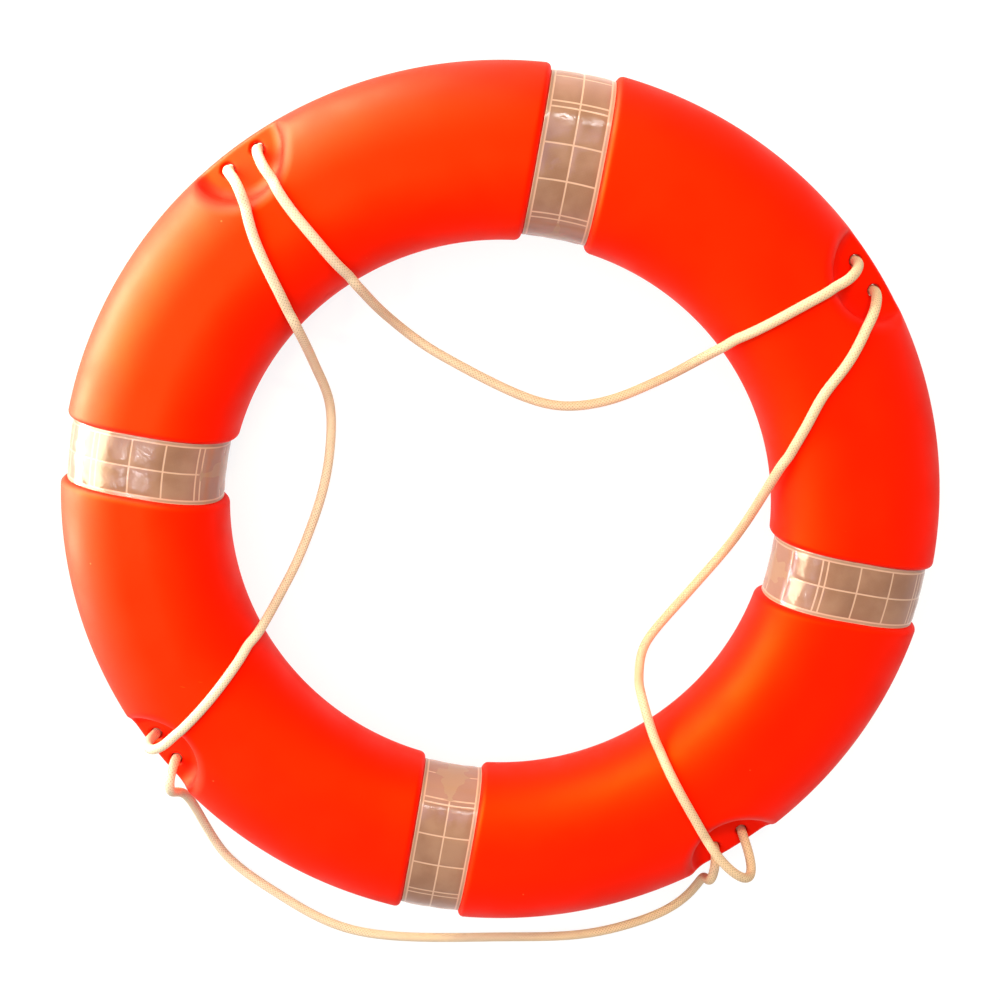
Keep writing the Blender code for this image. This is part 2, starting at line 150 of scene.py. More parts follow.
def shell_distance(points):
    """Distance to the shell's surface, negative inside, from points in rows."""
    x, y, z = points[:, 0], points[:, 1], points[:, 2]
    radius = np.hypot(x, y)
    turn = np.arctan2(x, y)
    quarter = math.pi / 2
    from_band = (turn + quarter / 2) % quarter - quarter / 2
    from_eye = turn % quarter - quarter / 2
    band_side = np.abs(radius * np.sin(from_band))
    eye_side = np.abs(radius * np.sin(from_eye))
    eye_out = radius * np.cos(from_eye)
    above = np.abs(z - MIDDLE_HEIGHT)

    body = section_distance(radius - MIDDLE_RADIUS, above, 0.0)
    sunk = section_distance(radius - MIDDLE_RADIUS, above, GROOVE_DEPTH)
    wall = TAPE_WIDTH / 2 + TAPE_SIDE_GAP - band_side
    solid = round_or(round_and(body, wall, SHOULDER_RADIUS), sunk, GROOVE_FILLET)

    rise = above - WEB_THICKNESS / 2
    reach = POCKET_RADIUS + POCKET_SLOPE * np.maximum(rise, 0)
    bowl = np.hypot(eye_side, np.minimum(eye_out - POCKET_CENTRE, 0)) - reach
    front_floor = POCKET_FLOOR - FLOOR_FALL * (eye_out - EYE_RADIUS)
    pocket = round_and(bowl, -np.maximum(z - front_floor, WEB_BOTTOM - z), FLOOR_FILLET)
    share = np.clip((rise - LIP_START) / LIP_GROWTH, 0, 1)
    lip = WEB_EDGE_RADIUS + (LIP_RADIUS - WEB_EDGE_RADIUS) * share * share * (3 - 2 * share)
    solid = round_and(solid, -pocket, lip)

    hole = np.hypot(eye_side - HOLE_PITCH / 2, eye_out - EYE_RADIUS) - HOLE_RADIUS
    return round_and(solid, -hole, BELL_RADIUS)


def shell_slope(points):
    """The distance's gradient."""
    slope = np.empty_like(points)
    for axis in range(3):
        ahead = points.copy()
        ahead[:, axis] += SLOPE_STEP
        behind = points.copy()
        behind[:, axis] -= SLOPE_STEP
        slope[:, axis] = (shell_distance(ahead) - shell_distance(behind)) / (2 * SLOPE_STEP)
    return slope


def onto_shell(points, rounds):
    """Moves points along the slope onto the surface."""
    for _ in range(rounds):
        slope = shell_slope(points)
        steep = np.maximum((slope ** 2).sum(1), LEAST_SLOPE)
        step = np.clip(shell_distance(points) / steep, -LONGEST_STEP, LONGEST_STEP)
        points = points - slope * step[:, None]
    return points


def sample_shell(cell):
    """The distance on a grid over the whole ring, worked out on a quarter of it and mirrored."""
    flat = (np.arange(math.ceil(GRID_REACH / cell)) + 0.5) * cell
    half = math.ceil(GRID_HALF_HEIGHT / cell)
    high = (np.arange(-half, half) + 0.5) * cell
    grid = np.stack(np.meshgrid(flat, flat, MIDDLE_HEIGHT + high, indexing="ij"), axis=-1)
    values = shell_distance(grid.reshape(-1, 3)).reshape(grid.shape[:3]).astype(np.float32)
    for axis in range(2):
        values = np.concatenate([np.flip(values, axis), values], axis=axis)
    origin = np.array([-flat[-1], -flat[-1], MIDDLE_HEIGHT + high[0]])
    return values, origin


def surface_net(values, origin, cell):
    """One vertex in each grid cell that the surface crosses, joined by quads."""
    inside = values < 0
    count = np.zeros([size - 1 for size in values.shape], np.int8)
    corners = [(i, j, k) for i in (0, 1) for j in (0, 1) for k in (0, 1)]
    nx, ny, nz = values.shape
    for i, j, k in corners:
        count += inside[i:nx - 1 + i, j:ny - 1 + j, k:nz - 1 + k]
    cells = np.argwhere((count > 0) & (count < 8))
    across, deep, up = cells.T
    held = np.stack([values[across + i, deep + j, up + k] for i, j, k in corners], axis=1)
    total = np.zeros((len(cells), 3))
    crossings = np.zeros(len(cells))
    for first in range(8):
        for axis, bit in enumerate((4, 2, 1)):
            if first & bit:
                continue
            second = first | bit
            a, b = held[:, first], held[:, second]
            crossed = (a < 0) != (b < 0)
            share = np.where(crossed, a / np.where(crossed, a - b, 1), 0)
            point = np.tile(np.array(corners[first], float), (len(cells), 1))
            point[:, axis] += share
            total += point * crossed[:, None]
            crossings += crossed
    points = origin + cell * (cells + total / crossings[:, None])
    number = np.full(count.shape, -1, np.int32)
    number[tuple(cells.T)] = np.arange(len(cells))
    quads = []
    for axis in range(3):
        b, c = (axis + 1) % 3, (axis + 2) % 3
        ahead = [slice(None)] * 3
        here = [slice(None)] * 3
        ahead[axis] = slice(1, None)
        here[axis] = slice(None, -1)
        start, end = inside[tuple(here)], inside[tuple(ahead)]
        for leaving in (True, False):
            edges = np.argwhere((start != end) & (start == leaving))
            loop = []
            for db, dc in ((-1, -1), (0, -1), (0, 0), (-1, 0)):
                at = edges.copy()
                at[:, b] += db
                at[:, c] += dc
                loop.append(number[tuple(at.T)])
            quad = np.stack(loop, axis=1)
            quads.append(quad if leaving else quad[:, ::-1])
    return points, np.concatenate(quads)


def even_out(points, quads, rounds, share):
    """Moves each vertex towards the middle of its neighbours."""
    edges = np.concatenate([quads[:, [k, (k + 1) % 4]] for k in range(4)])
    edges = np.concatenate([edges, edges[:, ::-1]])
    many = np.bincount(edges[:, 0], minlength=len(points))
    for _ in range(rounds):
        middle = np.stack([
            np.bincount(edges[:, 0], weights=points[edges[:, 1], axis], minlength=len(points)) / many
            for axis in range(3)
        ], axis=1)
        points = points + (middle - points) * share
    return points


# Meshes and pieces

def new_object(name, data):
    made = bpy.data.objects.new(name, data)
    bpy.context.scene.collection.objects.link(made)
    return made


def new_mesh(name, points, faces):
    data = bpy.data.meshes.new(name)
    data.from_pydata(points, [], faces)
    data.update()
    return data


def read_values(items, name, width=1, kind=float):
    """What each of a mesh's items holds under a name: one value, or a row of them."""
    values = np.empty(len(items) * width, kind)
    items.foreach_get(name, values)
    return values.reshape(-1, width) if width > 1 else values


def add_piece(name, data, finish, replaced=()):
    """A piece of the scene that rides on the part and stands for the CAD nodes that it replaces."""
    made = new_object(name, data)
    data.materials.clear()
    data.materials.append(finish)
    data.polygons.foreach_set("use_smooth", [True] * len(data.polygons))
    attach(made, "root")
    if replaced:
        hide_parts(*replaced)
    return made


def turned_mesh(name, profile, sides):
    """A turned surface from (radius, height) points, closed on the axis at both ends."""
    points = []
    faces = []
    for radius, height in profile:
        for side in range(sides):
            angle = 2 * math.pi * side / sides
            points.append((radius * math.cos(angle), radius * math.sin(angle), height))
    rows = len(profile)
    for row in range(rows - 1):
        low, high = row * sides, (row + 1) * sides
        for side in range(sides):
            after = (side + 1) % sides
            faces.append((low + side, low + after, high + after, high + side))
    centre = len(points)
    points.append((0.0, 0.0, profile[0][1]))
    points.append((0.0, 0.0, profile[-1][1]))
    last = (rows - 1) * sides
    for side in range(sides):
        after = (side + 1) % sides
        faces.append((centre, after, side))
        faces.append((centre + 1, last + side, last + after))
    return new_mesh(name, points, faces)


# Materials

class Nodes:
    """Short calls for a material's nodes."""

    def __init__(self, name):
        self.material = bpy.data.materials.new(name)
        self.material.use_nodes = True
        self.tree = self.material.node_tree
        self.shader = self.tree.nodes["Principled BSDF"]
        self.output = self.tree.nodes["Material Output"]

    def link(self, source, target):
        self.tree.links.new(source, target)

    def feed(self, socket, value):
        if isinstance(value, bpy.types.NodeSocket):
            self.link(value, socket)
        else:
            socket.default_value = value

    def math(self, operation, *values):
        node = self.tree.nodes.new("ShaderNodeMath")
        node.operation = operation
        for socket, value in zip(node.inputs, values):
            self.feed(socket, value)
        return node.outputs[0]

    def times(self, a, b):
        return self.math("MULTIPLY", a, b)

    def plus(self, a, b):
        return self.math("ADD", a, b)

    def minus(self, a, b):
        return self.math("SUBTRACT", a, b)

    def clamp(self, value, low, high, to_low=0.0, to_high=1.0):
        node = self.tree.nodes.new("ShaderNodeMapRange")
        node.interpolation_type = "SMOOTHSTEP"
        for socket, item in zip(node.inputs, (value, low, high, to_low, to_high)):
            self.feed(socket, item)
        return node.outputs[0]

    def mix(self, share, a, b):
        node = self.tree.nodes.new("ShaderNodeMix")
        node.data_type = "RGBA"
        self.feed(node.inputs[0], share)
        self.feed(node.inputs[6], a)
        self.feed(node.inputs[7], b)
        return node.outputs[2]

    def noise(self, vector, scale, detail=2.0, roughness=0.5, distortion=0.0):
        node = self.tree.nodes.new("ShaderNodeTexNoise")
        self.link(vector, node.inputs["Vector"])
        node.inputs["Scale"].default_value = scale
        node.inputs["Detail"].default_value = detail
        node.inputs["Roughness"].default_value = roughness
        node.inputs["Distortion"].default_value = distortion
        return node.outputs["Fac"]

    def voronoi(self, vector, scale, randomness=1.0):
        node = self.tree.nodes.new("ShaderNodeTexVoronoi")
        self.link(vector, node.inputs["Vector"])
        node.inputs["Scale"].default_value = scale
        node.inputs["Randomness"].default_value = randomness
        return node.outputs["Distance"]

    def stretch(self, vector, scale=(1, 1, 1), turn=(0, 0, 0), move=(0, 0, 0)):
        node = self.tree.nodes.new("ShaderNodeMapping")
        self.link(vector, node.inputs["Vector"])
        node.inputs["Location"].default_value = move
        node.inputs["Rotation"].default_value = turn
        node.inputs["Scale"].default_value = scale
        return node.outputs[0]

    def place(self):
        return self.tree.nodes.new("ShaderNodeTexCoord").outputs["Object"]

    def uv(self):
        node = self.tree.nodes.new("ShaderNodeUVMap")
        node.uv_map = "UVMap"
        return self.split(node.outputs[0])[:2]

    def split(self, vector):
        node = self.tree.nodes.new("ShaderNodeSeparateXYZ")
        self.link(vector, node.inputs[0])
        return node.outputs

    def join(self, *values):
        node = self.tree.nodes.new("ShaderNodeCombineXYZ")
        for socket, value in zip(node.inputs, values):
            self.feed(socket, value)
        return node.outputs[0]

    def attribute(self, name):
        node = self.tree.nodes.new("ShaderNodeAttribute")
        node.attribute_name = name
        return node.outputs["Fac"]

    def bump(self, height, distance):
        node = self.tree.nodes.new("ShaderNodeBump")
        node.inputs["Distance"].default_value = distance
        self.link(height, node.inputs["Height"])
        return node

    def surface(self, color, roughness, normal=None, **fixed):
        """Colour, roughness and bump, then the shader's inputs that stay the same all over."""
        inputs = self.shader.inputs
        self.feed(inputs["Base Color"], color)
        self.feed(inputs["Roughness"], roughness)
        if normal is not None:
            self.link(normal.outputs[0], inputs["Normal"])
        for name, value in fixed.items():
            inputs[name.replace("_", " ")].default_value = value
        return self.material


SHELL_RED = (0.92, 0.0065, 0.0)
PLUG_RED = (0.80, 0.0055, 0.0)
SCRATCH_RED = (1.0, 0.17, 0.03, 1)
NICK_RED = (1.0, 0.22, 0.09, 1)
PLASTIC_GLOSS = (1.0, 0.27, 0.0, 1)
GRAIN_RELIEF = 0.00006
SWELL_RELIEF = 0.00016
SCRATCH_RELIEF = 0.00005


def plastic(name, color, seed):
    """Moulded polyethylene: fine sandblasted grain, slight unevenness, faint scratches and nicks."""
    n = Nodes(name)
    place = n.stretch(n.place(), move=(seed, seed * 0.7, 0))
    broad = n.noise(place, 9, 3)
    light = (*[min(1.0, c * 1.06) for c in color], 1)
    dark = (*[c * 0.93 for c in color], 1)
    base = n.mix(n.clamp(broad, 0.35, 0.65), dark, light)
    lines = n.noise(n.stretch(place, (30, 240, 90), (0.4, 0.2, 0.9)), 1.0, 2, 0.6)
    patches = n.clamp(n.noise(place, 13, 2), 0.56, 0.70)
    scratches = n.times(n.clamp(lines, 0.735, 0.79), patches)
    scuffed = n.mix(n.times(scratches, 0.45), base, SCRATCH_RED)
    nicks = n.clamp(n.voronoi(place, 24), 0.014, 0.024, 1.0, 0.0)
    scuffed = n.mix(n.times(nicks, 0.35), scuffed, NICK_RED)
    grain = n.noise(place, 1500, 2, 0.6)
    swell = n.noise(place, 45, 2)
    height = n.plus(n.times(grain, GRAIN_RELIEF), n.times(swell, SWELL_RELIEF))
    height = n.minus(height, n.times(n.math("MAXIMUM", scratches, nicks), SCRATCH_RELIEF))
    rough = n.clamp(n.noise(place, 25, 3), 0.3, 0.7, 0.50, 0.62)
    rough = n.plus(rough, n.times(scratches, 0.15))
    return n.surface(scuffed, rough, n.bump(height, 1.0), IOR=1.30, Specular_Tint=PLASTIC_GLOSS)


CELL_TONES = ((0.270, 0.128, 0.066, 1), (0.345, 0.180, 0.104, 1))
PRISM_TONE = (0.48, 0.32, 0.22, 1)
# Painted reflection: the pinkish red that the band's sides take, as if mirroring the red shell beside them
FLANK_REFLECTION_TONE = (0.42, 0.215, 0.165, 1)
HEM_TONE = (0.40, 0.230, 0.145, 1)
WELD_TONE = (0.66, 0.40, 0.28, 1)
FILM_GLOSS = (0.40, 0.45, 1.0, 1)
FILM_SHEEN = (1.0, 0.72, 0.66, 1)
WRINKLE_RELIEF = 0.00034
PRISM_RELIEF = 0.00002


def tape_film():
    """Clear film over silver cells: pale welds, darker cells with a fine prism pattern, a glossy skin, and
    a painted pinkish red reflection on the band's sides.
    """
    n = Nodes("tape_film")
    along, across = n.uv()
    weld = n.attribute("weld")
    hem = n.attribute("hem")
    place = n.place()
    prism = n.voronoi(n.join(along, across, 0.0), 900, randomness=0.1)
    tone = n.clamp(n.noise(place, 34, 3), 0.3, 0.7)
    cell = n.mix(tone, *CELL_TONES)
    cell = n.mix(n.times(n.clamp(prism, 0.2, 0.8), 0.10), cell, PRISM_TONE)
    # Painted reflection: the band's sides, near the ring's middle height, are tinted pinkish red
    height = n.split(place)[2]
    from_middle = n.math("ABSOLUTE", n.minus(height, MIDDLE_HEIGHT))
    cell = n.mix(n.clamp(from_middle, 0.030, 0.046, 0.6, 0.0), cell, FLANK_REFLECTION_TONE)
    clear = n.mix(hem, cell, HEM_TONE)
    base = n.mix(n.times(weld, 0.85), clear, WELD_TONE)
    wrinkles = n.noise(place, 80, 2, 0.5, 0.8)
    relief = n.plus(n.times(wrinkles, WRINKLE_RELIEF), n.times(prism, PRISM_RELIEF))
    rough = n.clamp(n.noise(place, 120, 2), 0.3, 0.7, 0.11, 0.24)
    return n.surface(base, rough, n.bump(relief, 1.0), IOR=1.42, Specular_Tint=FILM_GLOSS,
                     Sheen_Weight=0.30, Sheen_Roughness=0.35, Sheen_Tint=FILM_SHEEN)


# The line's colours, each from the left side of the ring to the right: painted light and shade, lighter
# towards the key lamp on the left, darker and warmer on the right. The fibres' hollows are painted darker
# than their crowns: painted shade.
SHADED_HOLLOW_TONES = ((0.76, 0.58, 0.42, 1), (0.73, 0.49, 0.30, 1))
LIT_CROWN_TONES = ((0.89, 0.73, 0.56, 1), (0.87, 0.63, 0.42, 1))
# Painted shade: the dark of the seams and pits between the strands
SEAM_SHADE_TONE = (0.52, 0.33, 0.20, 1)
PIT_SHADE_TONE = (0.24, 0.155, 0.095, 1)
PILLOW_RELIEF = 0.00022
FIBRE_RELIEF = 0.00008


def rope_fibre():
    """Braided polypropylene: pillows where strands cross, fine fibres along them, painted shade in the
    seams and pits between, and painted light and shade from the left side to the right.
    """
    n = Nodes("rope_fibre")
    u, v = n.uv()
    turns = n.math("DIVIDE", v, BRAID_LAY / BRAID_STRANDS)
    around_it = n.times(u, BRAID_STRANDS)
    a = n.plus(around_it, turns)
    b = n.minus(around_it, turns)
    across_a = n.math("ABSOLUTE", n.math("SINE", n.times(a, math.pi)))
    across_b = n.math("ABSOLUTE", n.math("SINE", n.times(b, math.pi)))
    pillow = n.math("SQRT", n.times(across_a, across_b))
    over = n.math("FLOORED_MODULO", n.plus(n.math("FLOOR", a), n.math("FLOOR", b)), 2.0)
    fibre_a = n.noise(n.join(n.times(a, 7.0), n.times(b, 0.6), 0.0), 1.0, 2)
    fibre_b = n.noise(n.join(n.times(a, 0.6), n.times(b, 7.0), 4.0), 1.0, 2)
    fibre = n.plus(n.times(fibre_a, over), n.times(fibre_b, n.minus(1.0, over)))
    # Painted light and shade: the line is lighter on its left, towards the key lamp, and darker and warmer
    # on its right
    painted_side_light = n.plus(n.split(n.place())[0], n.times(n.noise(n.place(), 6, 2), 0.12))
    painted_side_light = n.clamp(painted_side_light, -0.20, 0.34)
    hollow = n.mix(painted_side_light, *SHADED_HOLLOW_TONES)
    crown = n.mix(painted_side_light, *LIT_CROWN_TONES)
    base = n.mix(n.clamp(fibre, 0.3, 0.7), hollow, crown)
    # Painted shade in the seams along the strands' edges
    base = n.mix(n.clamp(pillow, 0.05, 0.35), SEAM_SHADE_TONE, base)
    # Painted shade in the pits where the strands part, stronger in some places than others at random
    pit_shade_share = n.clamp(n.noise(n.place(), 26, 2), 0.35, 0.65, 0.45, 0.90)
    pit = n.minus(1.0, n.clamp(n.plus(across_a, across_b), 0.34, 0.86))
    base = n.mix(n.times(pit, pit_shade_share), base, PIT_SHADE_TONE)
    height = n.plus(n.times(pillow, PILLOW_RELIEF), n.times(fibre, FIBRE_RELIEF))
    return n.surface(base, 0.62, n.bump(height, 1.0), IOR=1.15)


FOAM_TONES = ((0.80, 0.71, 0.48, 1), (0.90, 0.83, 0.62, 1))
FOAM_RELIEF = 0.0004
MELT_TONES = ((0.42, 0.30, 0.20, 1), (0.66, 0.54, 0.42, 1))
MELT_RELIEF = 0.0003


def foam_fill():
    """Rigid foam: pale, with fine cells."""
    n = Nodes("foam_fill")
    place = n.place()
    cells = n.voronoi(place, 900)
    tone = n.clamp(n.noise(place, 30, 3), 0.3, 0.7)
    return n.surface(n.mix(tone, *FOAM_TONES), 0.9, n.bump(cells, FOAM_RELIEF))


def melted_tip():
    """The fused fibres at the line's ends."""
    n = Nodes("melted_tip")
    place = n.place()
    tone = n.clamp(n.noise(place, 700, 3), 0.35, 0.65)
    return n.surface(n.mix(tone, *MELT_TONES), 0.35, n.bump(n.noise(place, 900, 2), MELT_RELIEF))


# The shell

SEAT_PROFILE = ((0.0123, -0.004), (0.0123, 0.0018), (0.0093, 0.0018), (0.0093, 0.0043))
SEAT_REACH = 0.01232
SEAT_TOP = 0.01
SEAT_SIDES = 64


def weld_seat(target, direction):
    """Cuts the stepped seat that a plug sits in."""
    cutter = new_object("seat", turned_mesh("seat", SEAT_PROFILE, SEAT_SIDES))
    cutter.location = (*around(direction, 0.0, MIDDLE_RADIUS), 0.0)
    boolean = target.modifiers.new("seat", "BOOLEAN")
    boolean.operation = "DIFFERENCE"
    boolean.solver = "MANIFOLD"
    boolean.object = cutter
    return cutter


def apply_modifiers(item):
    """Puts what the modifiers make in the place of the object's own mesh."""
    bpy.context.view_layer.update()
    graph = bpy.context.evaluated_depsgraph_get()
    made = bpy.data.meshes.new_from_object(item.evaluated_get(graph))
    item.modifiers.clear()
    item.data = made


def make_shell(cell):
    """The shell's skin: the distance's surface, with the plugs' seats cut into its back."""
    values, origin = sample_shell(cell)
    points, quads = surface_net(values, origin, cell)
    for share in (0.5, 0.35):
        points = even_out(points, quads, rounds=2, share=share)
        points = onto_shell(points, rounds=2)
    data = new_mesh("shell_skin", points.tolist(), quads.tolist())
    data.validate()
    data.update()
    shell = new_object("shell_skin", data)
    cutters = [weld_seat(shell, direction) for direction in PLUG_DIRECTIONS.values()]
    apply_modifiers(shell)
    for cutter in cutters:
        bpy.data.objects.remove(cutter)
    data = shell.data
    bpy.data.objects.remove(shell)
    finish = plastic("shell_plastic", SHELL_RED, 0.0)
    add_piece("shell_skin", data, finish, ("ring_shell",))
    smooth_normals(data)


def smooth_normals(data):
    """Normals from the distance's slope, apart from the plugs' seats, which keep their faces' own."""
    slope = shell_slope(read_values(data.vertices, "co", 3))
    slope /= np.linalg.norm(slope, axis=1)[:, None]
    corner = read_values(data.loops, "vertex_index", kind=np.int32)
    totals = read_values(data.polygons, "loop_total", kind=np.int32)
    own = np.repeat(read_values(data.polygons, "normal", 3), totals, axis=0)
    middles = read_values(data.polygons, "center", 3)
    seat = np.zeros(len(middles), bool)
    for direction in PLUG_DIRECTIONS.values():
        x, y = around(direction, 0.0, MIDDLE_RADIUS)
        away = np.hypot(middles[:, 0] - x, middles[:, 1] - y)
        seat |= (away < SEAT_REACH) & (middles[:, 2] < SEAT_TOP)
    seat = np.repeat(seat, totals)
    normals = np.where(seat[:, None], own, slope[corner])
    data.normals_split_custom_set(normals.tolist())


# Reflective bands

SECTION_STEPS = 1440
MESH_STEP = 0.0021
MARGIN = 0.0030
WELD_PLACES = (-TAPE_WIDTH / 2 + MARGIN, 0.0, TAPE_WIDTH / 2 - MARGIN)
WELD_WIDTH = 0.0011
WELD_FADE = 0.0002
EDGE_MARKS = (0.0, 0.0006, 0.0008)
EDGE_WELD = 0.0007
ROW_PITCH = 0.0265
PAIR_GAP = 0.0045
ROWS_TO_A_PAIR = 3
LEAST_LAST_ROW = 0.3

# Where the pair and the overlap lie along each band, from its outer side over the front
PAIR_AT = {0: 0.1380, 90: 0.1210, 180: 0.1413, 270: 0.1414}
OVERLAP_AT = {0: 0.262, 90: 0.282, 180: 0.250, 270: 0.270}

# How far the cells, hems and overlap are raised, and how crumpled the film is
CELL_RISE = 0.00032
CELL_SLOPE = 0.0045
CRUMPLE_SCALE = 95
CRUMPLE_SHARE = 1.1
HEM_RISE = 0.00010
EDGE_DROP = 0.00015
EDGE_WIDTH = 0.0003
OVERLAP = 0.024
OVERLAP_RISE = 0.00045
OVERLAP_STEP = 0.0003
STEP_MARGIN = 0.0001
SAME_PLACE = 1e-5
BAND_CREASE = math.radians(50)


def section_path(inset):
    """The section's outline from its outer side over the front, with the length along it."""
    angle = np.linspace(0, 2 * math.pi, SECTION_STEPS + 1)
    power = 2 / SECTION_POWER
    out = np.sign(np.cos(angle)) * (HALF_LAND + (HALF_WIDTH - inset) * np.abs(np.cos(angle)) ** power)
    up = np.sign(np.sin(angle)) * (MIDDLE_HEIGHT - inset) * np.abs(np.sin(angle)) ** power
    flat = np.abs(np.cos(angle)) < 1e-9
    out[flat] = 0
    radius = MIDDLE_RADIUS + out
    height = MIDDLE_HEIGHT + up
    run = np.concatenate([[0], np.cumsum(np.hypot(np.diff(radius), np.diff(height)))])
    return radius, height, run


def band_columns():
    """Sideways places of the vertices across a band, close together at the welds."""
    half = TAPE_WIDTH / 2
    weld = WELD_WIDTH / 2
    marks = [-half + mark for mark in EDGE_MARKS]
    for place in WELD_PLACES:
        start, end = marks[-1], place - weld - WELD_FADE
        steps = max(1, round((end - start) / MESH_STEP))
        marks += [start + (end - start) * k / steps for k in range(1, steps + 1)]
        marks += [place - weld, place, place + weld, place + weld + WELD_FADE]
    marks += [half - mark for mark in reversed(EDGE_MARKS)]
    return np.array(marks)


def band_lines(direction, total):
    """Where the welds cross a band: a pair, then single lines a row apart, both ways from its own pair."""
    lines = []
    for way in (1, -1):
        reach = PAIR_GAP / 2
        count = 0
        while reach < total / 2 - LEAST_LAST_ROW * ROW_PITCH:
            lines.append(PAIR_AT[direction] + way * reach)
            count += 1
            if count % ROWS_TO_A_PAIR == 0:
                lines.append(PAIR_AT[direction] + way * (reach + ROW_PITCH))
                reach += PAIR_GAP
            reach += ROW_PITCH
    return sorted(line % total for line in lines)


def band_marks(lines, seam, total):
    """Places of the vertices along a band, close together at the welds and the overlap's ends."""
    weld = WELD_WIDTH / 2
    marks = [seam, seam + OVERLAP_STEP, seam + OVERLAP, seam + OVERLAP + OVERLAP_STEP]
    for line, after in zip(lines, lines[1:] + [lines[0] + total]):
        start, end = line + weld + WELD_FADE, after - weld - WELD_FADE
        steps = max(1, round((end - start) / MESH_STEP))
        marks += [line - weld - WELD_FADE, line - weld, line, line + weld]
        marks += [start + (end - start) * k / steps for k in range(steps)]
    return np.unique(np.round(np.array(marks) % total, 6))


def band_rise(s, t, lines, seam, total, crumple):
    """How far a band's front is raised at the places s along it and t across it."""
    from_line = np.full(s.shape, 1.0)
    for line in lines:
        off = np.abs(s - line)
        off = np.minimum(off, total - off)
        from_line = np.minimum(from_line, np.clip(off / CELL_SLOPE, 0, 1))
    from_side = [np.clip(np.abs(t - place) / CELL_SLOPE, 0, 1) for place in WELD_PLACES]
    from_side = np.minimum.reduce(from_side)
    swell = np.sin(from_line * math.pi / 2) * np.sin(from_side * math.pi / 2)
    cell_rise = CELL_RISE * swell * (1 + CRUMPLE_SHARE * crumple)
    in_cells = np.abs(t) < TAPE_WIDTH / 2 - MARGIN
    rise = np.where(in_cells, cell_rise, HEM_RISE * np.clip(from_side * 3, 0, 1))
    rise = np.where(np.abs(t) > TAPE_WIDTH / 2 - EDGE_WIDTH, -EDGE_DROP, rise)
    lap = (s > seam + STEP_MARGIN) & (s < seam + OVERLAP + STEP_MARGIN)
    return rise + np.where(lap, OVERLAP_RISE, 0)


def make_band(number, direction, finish):
    """One band: a closed strip round the section, with its cells, welds and overlap raised."""
    radius, height, run = section_path(TAPE_OUTSIDE)
    total = run[-1]
    seam = OVERLAP_AT[direction]
    lines = band_lines(direction, total)
    marks = band_marks(lines, seam, total)
    across = band_columns()
    s, t = np.meshgrid(marks, across, indexing="ij")
    at_radius = np.interp(s, run, radius)
    at_height = np.interp(s, run, height)
    crumple = np.empty(s.shape)
    for i, j in np.ndindex(s.shape):
        spot = Vector((at_radius[i, j], at_height[i, j], t[i, j] + direction))
        crumple[i, j] = noise.noise(spot * CRUMPLE_SCALE)
    rise = band_rise(s, t, lines, seam, total, crumple)

    out_r = np.interp(s, run, np.gradient(height, run))
    out_h = -np.interp(s, run, np.gradient(radius, run))
    size = np.hypot(out_r, out_h)
    at_radius = at_radius + out_r / size * rise
    at_height = at_height + out_h / size * rise
    inner_r, inner_h, inner_run = section_path(TAPE_INSIDE)
    inner_s = marks / total * inner_run[-1]
    back_r = np.interp(inner_s, inner_run, inner_r)
    back_h = np.interp(inner_s, inner_run, inner_h)

    points = []
    weld_mark = []
    hem_mark = []
    uv = []
    weld = WELD_WIDTH / 2
    for i, mark in enumerate(marks):
        offs = [abs(mark - line) for line in lines]
        on_line = min(min(off, total - off) for off in offs) < weld + SAME_PLACE
        row = [(at_radius[i, j], at_height[i, j], across[j]) for j in range(len(across))]
        row += [(back_r[i], back_h[i], across[-1]), (back_r[i], back_h[i], across[0])]
        for j, (r, h, sideways) in enumerate(row):
            along = math.sqrt(r * r - sideways * sideways)
            points.append((*around(direction, sideways, along), h))
            uv.append((mark, sideways))
            on_side = min(abs(sideways - place) for place in WELD_PLACES) < weld + SAME_PLACE
            in_cell = abs(sideways) < TAPE_WIDTH / 2 - MARGIN + weld
            on_edge = abs(sideways) > TAPE_WIDTH / 2 - EDGE_WELD
            welded = (on_line and in_cell) or on_side or on_edge
            weld_mark.append(1.0 if j < len(across) and welded else 0.0)
            hem_mark.append(0.0 if in_cell else 1.0)
    faces = []
    columns = len(across) + 2
    for i in range(len(marks)):
        here, there = i * columns, (i + 1) % len(marks) * columns
        for j in range(columns):
            beside = (j + 1) % columns
            faces.append((here + j, here + beside, there + beside, there + j))
    name = f"tape_band_{number}"
    data = new_mesh(name, points, faces)
    for label, values in (("weld", weld_mark), ("hem", hem_mark)):
        data.attributes.new(label, "FLOAT", "POINT").data.foreach_set("value", values)
    corner = read_values(data.loops, "vertex_index", kind=np.int32)
    data.uv_layers.new(name="UVMap").data.foreach_set("uv", np.array(uv)[corner].ravel())
    add_piece(name, data, finish, (f"reflective_tape_{number}",))
    data.set_sharp_from_angle(angle=BAND_CREASE)


# The grab line

BRAID_STRANDS = 8.0
BRAID_LAY = 0.0232
BRAID_RELIEF = 0.00012
ROPE_SIDES = 32
ROPE_STEP = 0.0011
ROUTE_STEP = 0.0015
PASS_STEPS = 8

# The line is softened away from the eyes' holes, or above the pockets' floor
HOLE_CLEARANCE = 0.0085
HOLE_FADE = 0.002
FLOOR_CLEARANCE = 0.003
FLOOR_FADE = 0.003

# It is let down onto the shell where it is this near to it, on the front and inside this radius
LYING_GAP = 0.0032
LYING_FADE = 0.0012
LYING_REACH = 0.322
LYING_SLOPE = 0.05
SETTLE_ROUNDS = 12
SHORTEST_SLOPE = 0.2


